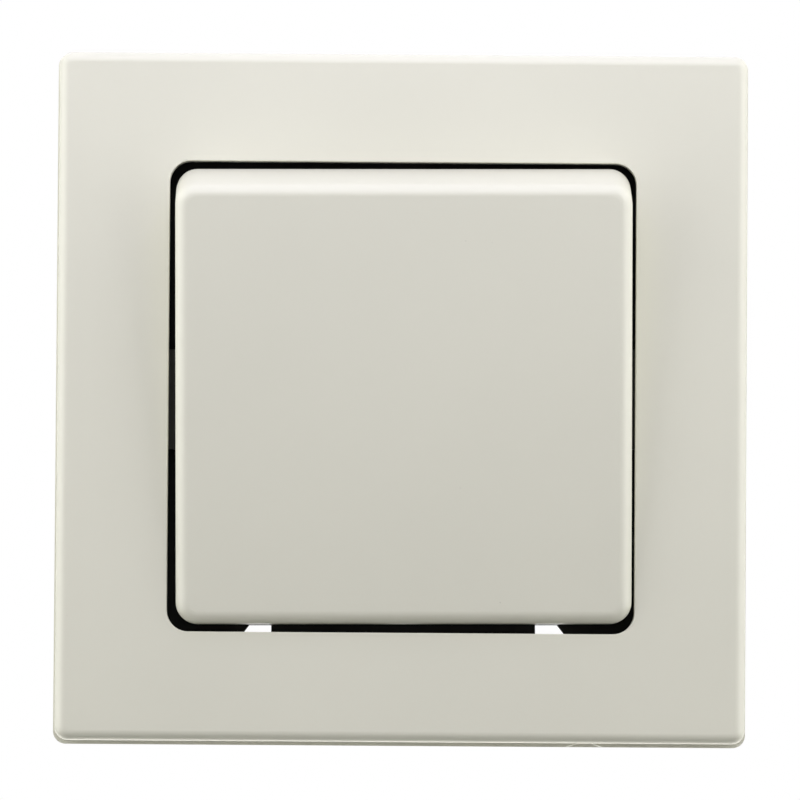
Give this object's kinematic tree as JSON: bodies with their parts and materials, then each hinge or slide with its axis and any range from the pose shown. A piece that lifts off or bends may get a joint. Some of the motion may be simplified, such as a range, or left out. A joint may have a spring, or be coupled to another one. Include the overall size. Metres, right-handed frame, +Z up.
{
  "type": "push button light switch",
  "caption": "Flush-mounted push button light switch: square cream cover frame round a large tilting button, with support ring, contact insert, spreader claws and push-in terminals.",
  "frame": {"origin": "centre of the support ring's front face, midway between the two box screw holes", "axes": "+X to the right seen from the front, +Y into the wall, +Z up"},
  "size_m": [0.0824, 0.0355, 0.0824],
  "materials": {
    "cream_plastic": "satin",
    "pale_grey_plastic": "matte",
    "dark_grey_plastic": "matte",
    "moulded_base": "matte",
    "release_plastic": "satin",
    "blackened_steel": "matte",
    "claw_steel": "satin",
    "screw_steel": "polished",
    "spring_steel": "satin",
    "terminal_brass": "satin",
    "contact_brass": "satin",
    "silver_contact": "satin"
  },
  "bodies": {
    "housing": {"cover_frame": "cream_plastic", "support_ring": "blackened_steel", "base_housing": "moulded_base", "bearing_cover": "dark_grey_plastic", "terminal_cover": "moulded_base", "common_contact_strip": "terminal_brass", "fixed_contact_strip": "terminal_brass", "fixed_contact": "silver_contact", "return_spring": "spring_steel", "clamp_spring_left_upper": "spring_steel", "clamp_spring_left_lower": "spring_steel", "clamp_spring_right_upper": "spring_steel", "clamp_spring_right_lower": "spring_steel"},
    "rocker": {"rocker": "cream_plastic", "rocker_carrier": "pale_grey_plastic"},
    "contact_lever": {"contact_lever": "contact_brass", "moving_contact": "silver_contact"},
    "release_lever_left": {"release_lever_left": "release_plastic"},
    "release_lever_right": {"release_lever_right": "release_plastic"},
    "claw_left": {"claw_left": "claw_steel"},
    "claw_right": {"claw_right": "claw_steel"},
    "claw_screw_left": {"claw_screw_left": "screw_steel"},
    "claw_screw_right": {"claw_screw_right": "screw_steel"}
  },
  "joints": [
    {"name": "rocker_tilt", "type": "hinge", "parent": "housing", "child": "rocker", "pos_m": [0, -0.0032, 0], "axis": [-1, 0, 0], "range_deg": [0, 9], "stiffness_Nm_per_rad": 0.35, "springref_deg": -6.88, "deforming": ["return_spring"]},
    {"name": "contact_swing", "type": "hinge", "parent": "housing", "child": "contact_lever", "pos_m": [-0.006, 0.0094, -0.007], "axis": [-1, 0, 0], "range_deg": [0, 5.7]},
    {"name": "release_push_left", "type": "slide", "parent": "housing", "child": "release_lever_left", "axis": [0, -1, 0], "range_m": [0, 0.0014], "stiffness_N_per_m": 1500, "springref_m": -0.001, "deforming": ["clamp_spring_left_upper", "clamp_spring_left_lower"]},
    {"name": "claw_screw_turn_left", "type": "hinge", "parent": "housing", "child": "claw_screw_left", "pos_m": [-0.024, 0, 0], "axis": [0, 1, 0], "range_deg": [0, 2890]},
    {"name": "claw_travel_left", "type": "slide", "parent": "housing", "child": "claw_left", "axis": [0, -1, 0], "range_m": [0, 0.004]},
    {"name": "release_push_right", "type": "slide", "parent": "housing", "child": "release_lever_right", "axis": [0, -1, 0], "range_m": [0, 0.0014], "stiffness_N_per_m": 1500, "springref_m": -0.001, "deforming": ["clamp_spring_right_upper", "clamp_spring_right_lower"]},
    {"name": "claw_screw_turn_right", "type": "hinge", "parent": "housing", "child": "claw_screw_right", "pos_m": [0.024, 0, 0], "axis": [0, 1, 0], "range_deg": [0, 2890]},
    {"name": "claw_travel_right", "type": "slide", "parent": "housing", "child": "claw_right", "axis": [0, -1, 0], "range_m": [0, 0.004]}
  ],
  "couplings": [
    {"joint": "contact_swing", "follows": "rocker_tilt", "ratio": 0.63},
    {"joint": "claw_screw_turn_left", "follows": "claw_travel_left", "rad_per_m": 12566},
    {"joint": "claw_screw_turn_right", "follows": "claw_travel_right", "rad_per_m": 12566}
  ]
}
